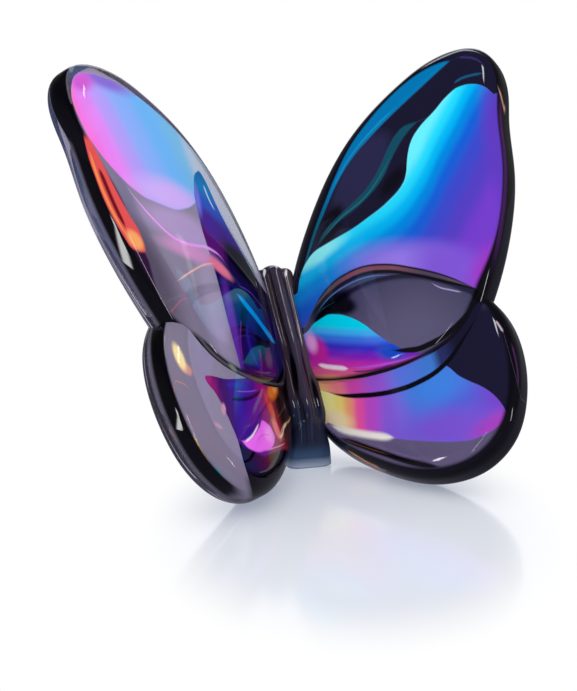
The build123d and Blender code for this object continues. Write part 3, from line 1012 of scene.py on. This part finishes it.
def left_hindwing_paint():
    # The lustre's colours on this lobe are painted reflections, highlights and shade
    made = Paint("left_hindwing_lustre_and_painted_light", (146, 136, 162), 0.28)
    # A painted dark reflection near the body, from brown through red to violet, with painted reflected
    # lines, and darker low down
    dark_reflection = made.under([
        (24.8, -10), (25.6, -5), (25.9, -2), (26.7, 0.4), (27.6, 2.6), (29, 5), (30.9, 7.3), (29.6, 8),
        (26, 8.5), (22, 9.8), (16, 12), (8, 14),
    ], 0.2, True)
    shades = made.ramp(made.out, [
        (3, (26, 12, 16)), (8, (78, 26, 20)), (11, (150, 30, 50)), (14, (140, 20, 110)), (18, (78, 20, 140)),
        (23, (56, 26, 150)), (27, (62, 14, 104)), (30, (150, 22, 108)),
    ])
    made.layer(shades, dark_reflection, 0.08)
    made.lines([
        ((52, 40, 168), 1.6, 0.8, [(18, 9), (22, 8.6), (26, 7.4)]),
        ((14, 4, 26), 1.1, 0.5, [(14, 10.8), (18, 8.1), (21, 6.6), (26, 5)]),
        ((164, 104, 216), 0.4, 0.3, [(15.5, 10.2), (19, 8.6), (24, 7)]),
    ], within=dark_reflection)
    made.layer((14, 2, 26), made.both(dark_reflection, made.under([
        (8, 2.4), (12, 1), (16, -1), (20, -2.6), (26, -2.4),
    ], 0.7)), 0.1)
    made.layer((58, 4, 24), made.both(dark_reflection, made.under([(15, -6.4), (20, -8.2), (26, -8.6)], 1.6)))
    # The bright magenta shape, a painted reflection, with its white painted highlights
    magenta_reflection = made.band(
        [(13.4, 2.6), (14.4, 1.2), (16, -0.2), (18.4, -1.4), (21, -2.4), (23, -2.5), (25, -1.6)],
        [(13.4, 3), (14.6, 4.2), (16.4, 4.4), (18.4, 2.6), (20.4, 0.8), (22.4, -0.7), (25, -1.8)],
        0.5,
    )
    made.layer((246, 112, 250), made.both(magenta_reflection, made.step(made.out, 13, 14.4)))
    made.spots([((255, 150, 255), 15.6, 2.4, 1.8, 1.2, -40, 1.2)], within=magenta_reflection)
    made.lines([
        ((178, 62, 206), 0.5, 0.5, [(15, 2.4), (18, 1.4), (21, -1)]),
        ((118, 24, 150), 1.0, 0.8, [(17.4, 4.6), (19.6, 3.2), (21.6, 1.2)]),
        ((255, 232, 244), 0.8, 0.4, [(18, 3.6), (20, 1.5), (21.6, 0), (24.4, -1.9)]),
        ((255, 206, 226), 0.45, 0.4, [(9, 3.4), (12, 1.7), (15, 0.2), (18, -1.3)]),
    ])
    # Warm light near the body: orange, pink and gold
    made.spots([((58, 26, 16), 6.6, 10, 3.4, 3, -30, 0.8)], within=dark_reflection)
    made.spots([((244, 124, 40), 9.6, 12.3, 3.4, 1.1, -40, 0.9)], within=dark_reflection, clearness=0.08)
    made.spots([
        ((255, 176, 84), 8.6, 13, 1.4, 0.5, -40, 1.0),
        ((212, 62, 60), 12.6, 8.4, 1.1, 2.4, -20, 1.1),
        ((246, 104, 136), 12, 4.6, 1.2, 1.7, -20, 0.8),
    ], within=dark_reflection)
    made.lines([((176, 118, 62), 0.4, 0.4, [(4.6, 11.8), (7, 10), (9.4, 8), (11, 7)])], within=dark_reflection)
    made.lines([
        ((238, 190, 112), 0.8, 0.6, [(2, 11.6), (5, 8.8), (8, 6.9), (11, 4), (13, 2.2)]),
        ((255, 240, 222), 0.9, 0.5, [(6.4, 7.8), (8.4, 6.3), (10, 4.4), (11.8, 3)]),
    ])
    # Reflections in the grey part
    made.spots([
        ((214, 146, 176), 27.9, 2.8, 0.5, 1.0, 20, 1.0),
        ((196, 150, 176), 30.2, -0.6, 0.9, 0.4, 10, 1.0),
    ])
    made.spots([((222, 160, 150), 35, 7.7, 1.3, 1.0, 10, 0.8)], clearness=0.2)
    made.spots([((252, 226, 166), 36.1, 9.4, 1.2, 2.2, -14, 0.7)], clearness=0.1)
    made.lines([
        ((212, 220, 196), 0.5, 0.4, [(39.8, 7.6), (39.4, 10.4), (38.5, 13)]),
    ], clearness=0.2, upright=True)
    made.lines([((238, 168, 122), 0.5, 0.4, [(35, 4.1), (36.6, 4.7), (38, 4.7), (39.3, 3.4)])])
    made.lines([((238, 160, 110), 0.5, 0.4, [(39.6, 0.4), (39.5, 2), (39, 4)])], upright=True)
    made.lines([
        ((246, 196, 112), 1.1, 0.5, [(34.6, -8.6), (36, -6.8), (37.4, -4)]),
    ], clearness=0.1, upright=True)
    made.spots([((42, 152, 164), 33.4, -9.2, 1.1, 0.5, 20, 0.8)], clearness=0.1)
    made.back((176, 168, 194))
    # The rim is darkened with painted shade from deeper down on the outer side, and from close to the face
    # toward the body
    facing = made.step(made.front, 0.25, 0.45)
    made.layer(painted_shade, made.both(made.step(made.depth, 2.0, 2.4), facing, made.step(made.out, 26, 31)), 0.1)
    made.layer(painted_shade, made.both(made.step(made.depth, 0.3, 0.9), facing, made.step(made.out, 27, 24)), 0.1)
    return made.done()


def body_paint():
    # The body's smoky glass, with painted highlights and painted shade on its fluted ribs
    made = Paint("body_smoke_with_painted_light", (62, 54, 72), 0.1)
    level = made.along
    lane = made.out
    # The left rib darker and the right rib lighter
    made.layer((54, 42, 56), made.step(lane, -4.6, -7))
    made.layer((78, 66, 78), made.step(lane, 5.4, 9))
    # A soft painted highlight on the middle rib, and a line of painted shade at its left edge
    made.lines([
        ((98, 92, 112), 3.4, 3, [(-0.4, 12), (0.4, 22), (-1, 33)]),
        ((34, 26, 38), 1.2, 1.4, [(-4.2, 14), (-3.6, 24), (-3.6, 33)]),
    ], upright=True)
    # Painted shade in the valleys between the ribs
    for place in (-5.4, 5.4):
        made.layer((10, 6, 12), made.stroke([(place, 6), (place, 20), (place, 36)], 1.9, 1.1, True), 0.1)
    # Painted highlights on the side ribs
    made.lines([
        ((124, 108, 122), 0.7, 0.9, [(-9.6, 17), (-9.2, 25), (-9.4, 32)]),
        ((122, 104, 116), 1.2, 1.2, [(9.4, 20), (9, 27), (9.4, 32.6)]),
    ], upright=True)
    # Painted shade along the body's left edge
    made.layer((14, 9, 16), made.step(lane, -12.4, -14))
    # Hollows beside the middle rib, low in the belly, painted in as dark shade, with a painted highlight
    # line round the left one
    for place, height, half_width, half_height in (
        (-6, 13.6, 2.4, 3.2),
        (5.2, 14.2, 1.5, 2.8),
        (9.6, 9.8, 2.2, 3),
    ):
        made.layer((8, 5, 12), made.blob(place, height, half_width, half_height, 0, 0.7))
    made.lines([((178, 164, 170), 0.7, 0.5, [(-7.6, 9.4), (-9.4, 12.6), (-12, 16.8)])], upright=True)
    # Steel blue below, and a clear pale foot
    made.layer((28, 36, 62), made.both(made.step(level, 11, 6.4), 0.85))
    # Dark and violet-grey streaks, and a painted teal highlight
    made.lines([
        ((10, 14, 34), 2.2, 1.6, [(-3.8, 2.6), (-4.2, 6), (-4.4, 10)]),
        ((76, 68, 100), 2.6, 2.2, [(1, 3.4), (0.8, 8), (0.4, 13)]),
        ((64, 122, 148), 1.0, 0.9, [(-9, 3.4), (-8.2, 6.4), (-8.6, 10)]),
    ], upright=True)
    made.layer((56, 86, 124), made.both(made.step(level, 4.4, 2.2), 0.8), 0.25)
    made.layer((150, 164, 188), made.step(level, 2.2, 0.5), 0.4)
    made.lines([((206, 212, 222), 0.5, 0.4, [(-18, 0.4), (0, 0.3), (18, 0.4)])], clearness=0.4)
    # Painted highlights at the tops of the three ribs
    for place, height, half_width in ((-9.4, 32.4, 2), (1.6, 33.2, 1.6), (9.2, 32, 1.6)):
        made.layer((228, 222, 232), made.blob(place, height, half_width, 0.5, 20, 0.9))
    return made.done()


# Each wing's two lobes, each with only its surface outside the other
forewing_size = (forewing_width, forewing_length)
hindwing_size = (hindwing_width, hindwing_length)
forewing = Lobe(forewing_outline_shares, forewing_size, (forewing_inset, forewing_start), lobe_step)
hindwing = Lobe(hindwing_outline_shares, hindwing_size, (hindwing_inset, hindwing_start), -lobe_step)
paints = {
    "right_forewing": right_forewing_paint(),
    "right_hindwing": right_hindwing_paint(),
    "left_forewing": left_forewing_paint(),
    "left_hindwing": left_hindwing_paint(),
}
for side, hand, slant in (("right", 1, right_slant), ("left", -1, left_slant)):
    names = (side + "_forewing", side + "_hindwing")
    fore_paint, hind_paint = (paints[name] for name in names)
    wholes = []
    for own_slot, lobe in enumerate((forewing, hindwing)):
        mesh = lobe_mesh("whole", lobe, hand)
        mesh.materials.append(fore_paint)
        mesh.materials.append(hind_paint)
        mesh.polygons.foreach_set("material_index", [own_slot] * len(mesh.polygons))
        wholes.append(placed("whole", mesh))
    finished_lobe(names[0], outside(*wholes), forewing, hand, slant, fore_paint)
    finished_lobe(names[1], outside(*wholes[::-1]), hindwing, hand, slant, hind_paint)
    for whole in wholes:
        bpy.data.objects.remove(whole)

body_glass_with_painted_light = body_paint()
for name, mesh in body_meshes().items():
    mesh.materials.append(body_glass_with_painted_light)
    piece = placed(name + "_glass", mesh)
    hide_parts(name)
    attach(piece, "root")

# A glossy white floor, which fades to plain white round a long oval in front of the object, for the camera
# and through the glass. The fade's ends are shares of the oval's size.
floor_half_size = 0.8
floor_roughness = 0.13
floor_ior = 1.6
oval_aside = 5.0
oval_ahead = 27.0
oval_half_sizes = (31.0 * mm, 51.0 * mm)
fade_start_share = 0.6
fade_end_share = 1.05

floor_mesh = bpy.data.meshes.new("floor")
sides = [(-1, -1), (1, -1), (1, 1), (-1, 1)]
floor_corners = [(x * floor_half_size, y * floor_half_size, 0) for x, y in sides]
floor_mesh.from_pydata(floor_corners, [], [(0, 1, 2, 3)])
floor = placed("floor", floor_mesh)
floor_material = bpy.data.materials.new("glossy_white")
floor_material.use_nodes = True
floor_mesh.materials.append(floor_material)
floor_nodes = Nodes(floor_material.node_tree)
polish = floor_nodes.tree.nodes["Principled BSDF"]
polish.inputs["Base Color"].default_value = (0.68, 0.68, 0.66, 1)
polish.inputs["Roughness"].default_value = floor_roughness
polish.inputs["IOR"].default_value = floor_ior
polish.inputs["Specular Tint"].default_value = (1, 0.9, 0.72, 1)
polish.inputs["Emission Color"].default_value = (0.26, 0.29, 0.36, 1)
polish.inputs["Emission Strength"].default_value = 1.0

oval_middle = mm * (hinge_foot + picture_right * oval_aside + toward_camera * oval_ahead)
floor_place = floor_nodes.node("ShaderNodeTexCoord").outputs["Object"]
far_share = floor_nodes.ellipse(floor_place, oval_middle.to_2d(), oval_half_sizes, camera_turn)
fade = floor_nodes.step(far_share, fade_start_share, fade_end_share)
floor_rays = floor_nodes.node("ShaderNodeLightPath").outputs
seen_plainly = floor_nodes.number("MAXIMUM", floor_rays["Is Camera Ray"], floor_rays["Is Transmission Ray"])
white = floor_nodes.glow((1, 1, 1, 1))
plain_floor = floor_nodes.mixed(floor_nodes.both(fade, seen_plainly), polish.outputs[0], white)
# Reflections in the glass see a darker floor
dim = floor_nodes.glow((0.16, 0.16, 0.2, 1))
whole_floor = floor_nodes.mixed(floor_nodes.mirrored(floor_rays), plain_floor, dim)
floor_nodes.join(whole_floor, floor_nodes.tree.nodes["Material Output"].inputs["Surface"])

# Plain soft light from all round, and white behind for what the camera and the glass see. Reflections see
# a small screen, behind the object as the floor mirrors it, a dim wall all round, and the softboxes. An edge
# is where the light fades in, as the cosine of the angle from its direction. A softbox has half a width and
# half a height after its direction.
ambient_strength = 0.05
fill_strength = 1.2
wall_strength = 0.12
wall_edge = (0.3, 0.6)
backdrop_direction = (0.3, 0.93, -0.05)
backdrop_edge = (0.15, 0.45)
screen_direction = (0.3, 0.92, 0.24)
screen_edge = (0.93, 0.97)
softbox_strength = 18.0
softbox_softness = 0.04
softboxes = [
    ((-0.97, -0.25, 0.05), 0.06, 0.2),
    ((0.8, -0.5, 0.1), 0.04, 0.14),
    ((0.2, -0.2, 0.97), 0.16, 0.05),
    ((-0.6, -0.75, 0.25), 0.03, 0.3),
]

world = bpy.data.worlds.new("studio")
bpy.context.scene.world = world
world.use_nodes = True
sky = Nodes(world.node_tree)
sight = sky.node("ShaderNodeTexCoord").outputs["Generated"]


def toward(direction):
    """How far a ray turns toward a direction, from -1 to 1."""
    made = sky.node("ShaderNodeVectorMath", operation="DOT_PRODUCT")
    sky.joined(made, sight, Vector(direction).normalized())
    return made.outputs["Value"]


def softbox(direction, half_width, half_height):
    """A bright rectangle in the given direction."""
    middle = Vector(direction).normalized()
    side = middle.cross(Vector((0, 0, 1))).normalized()
    made = sky.step(toward(middle), 0, 0.01)
    for axis, half in ((side, half_width), (side.cross(middle), half_height)):
        apart = sky.number("ABSOLUTE", toward(axis))
        made = sky.both(made, sky.without(sky.step(apart, half - softbox_softness, half)))
    return made


rays = sky.node("ShaderNodeLightPath").outputs
backdrop = sky.step(toward(backdrop_direction), *backdrop_edge)
screen = sky.step(toward(screen_direction), *screen_edge)
steepness = sky.number("ABSOLUTE", toward((0, 0, 1)))
wall = sky.both(sky.without(sky.step(steepness, *wall_edge)), wall_strength)
boxes = 0.0
for row in softboxes:
    boxes = sky.number("MAXIMUM", boxes, softbox(*row))
mirrored = sky.mirrored(rays)
strength = ambient_strength
for light in (
    rays["Is Camera Ray"],
    sky.both(rays["Is Diffuse Ray"], fill_strength),
    sky.both(rays["Is Transmission Ray"], backdrop),
    sky.both(mirrored, screen),
    sky.both(mirrored, wall),
    sky.both(mirrored, boxes, softbox_strength),
):
    strength = sky.number("MAXIMUM", strength, light)
background = sky.tree.nodes["Background"]
background.inputs["Color"].default_value = (1, 1, 1, 1)
sky.join(strength, background.inputs["Strength"])

# The camera, from the fit to the photograph
back = toward_camera * cos(camera_rise) + Vector((0, 0, sin(camera_rise)))
up = back.cross(picture_right)
camera_place = hinge_foot + picture_right * camera_right + up * camera_up + back * camera_distance
camera_data = bpy.data.cameras.new("camera")
camera_data.sensor_fit = "HORIZONTAL"
camera_data.sensor_width = 36
camera_data.lens = camera_data.sensor_width * pixels_per_mm * camera_distance / photo_width_pixels
camera = bpy.data.objects.new("camera", camera_data)
camera_pose = Matrix((picture_right, up, back)).transposed().to_4x4()
camera_pose.translation = camera_place * mm
camera.matrix_world = camera_pose
bpy.context.scene.collection.objects.link(camera)
bpy.context.scene.camera = camera

bpy.context.scene.view_settings.view_transform = "Standard"
